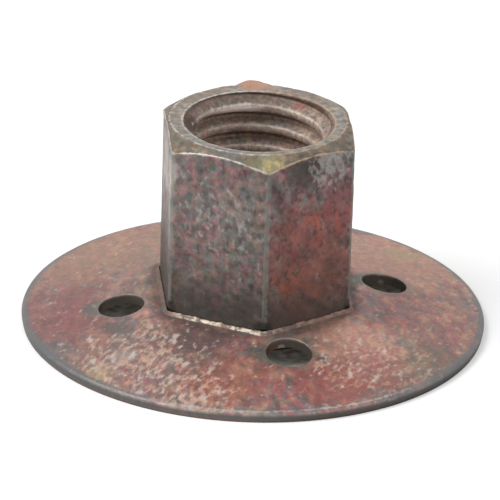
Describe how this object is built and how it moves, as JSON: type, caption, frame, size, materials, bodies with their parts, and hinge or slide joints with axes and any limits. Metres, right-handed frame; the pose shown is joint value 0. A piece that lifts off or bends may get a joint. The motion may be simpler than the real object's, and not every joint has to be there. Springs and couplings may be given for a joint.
{
  "type": "lock nut",
  "caption": "Tall hexagonal sleeve nut staked into a dished steel disc with pin-spanner holes, to clamp a backing pad on a threaded spindle.",
  "frame": {"origin": "on the thread's axis, in the plane that the rim of the disc stands on", "axes": "+Z along the thread's axis, from the dished disc up the sleeve; one corner of the hexagon points along -Y"},
  "size_m": [0.0492, 0.0492, 0.0231],
  "materials": {
    "sleeve_plating": "worn yellow-chromate zinc plating on steel, grey-brown with purple, olive and tan patches",
    "disc_plating": "worn yellow-chromate zinc plating on pressed steel, rose and tan mottled with pale scuffs"
  },
  "bodies": {
    "root": {"hex_sleeve": "sleeve_plating", "flange_disc": "disc_plating"}
  },
  "joints": []
}
